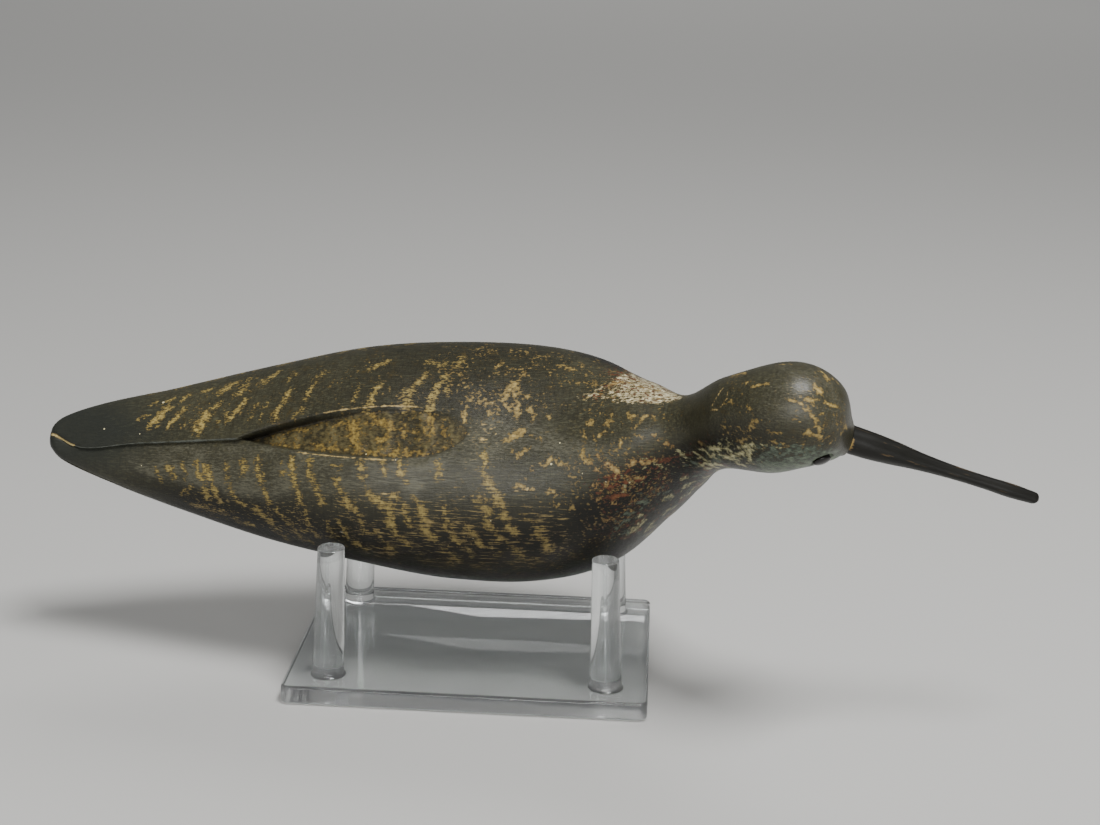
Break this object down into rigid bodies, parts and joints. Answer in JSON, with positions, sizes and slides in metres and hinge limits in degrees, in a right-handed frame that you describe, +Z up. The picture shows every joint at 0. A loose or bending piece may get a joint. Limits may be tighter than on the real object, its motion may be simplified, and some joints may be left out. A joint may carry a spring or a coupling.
{
  "type": "shorebird decoy on stand",
  "caption": "Old carved wooden shorebird decoy with a long slender bill, lying on its side across a clear stand with upright pegs.",
  "frame": {"origin": "centre of the stand's underside", "axes": "+X along the stand's long side and the bird, towards its bill, +Y away from the viewer, +Z up"},
  "size_m": [0.2954, 0.1023, 0.1131],
  "materials": {
    "painted_wood": "worn old paint over bare wood",
    "dark_wood": "dark, worn smooth",
    "eye_gloss": "glossy",
    "clear_acrylic": "clear and polished"
  },
  "bodies": {
    "root": {"decoy_body": "painted_wood", "bill": "dark_wood", "eye_right": "eye_gloss", "eye_left": "eye_gloss", "stand": "clear_acrylic"}
  },
  "joints": []
}
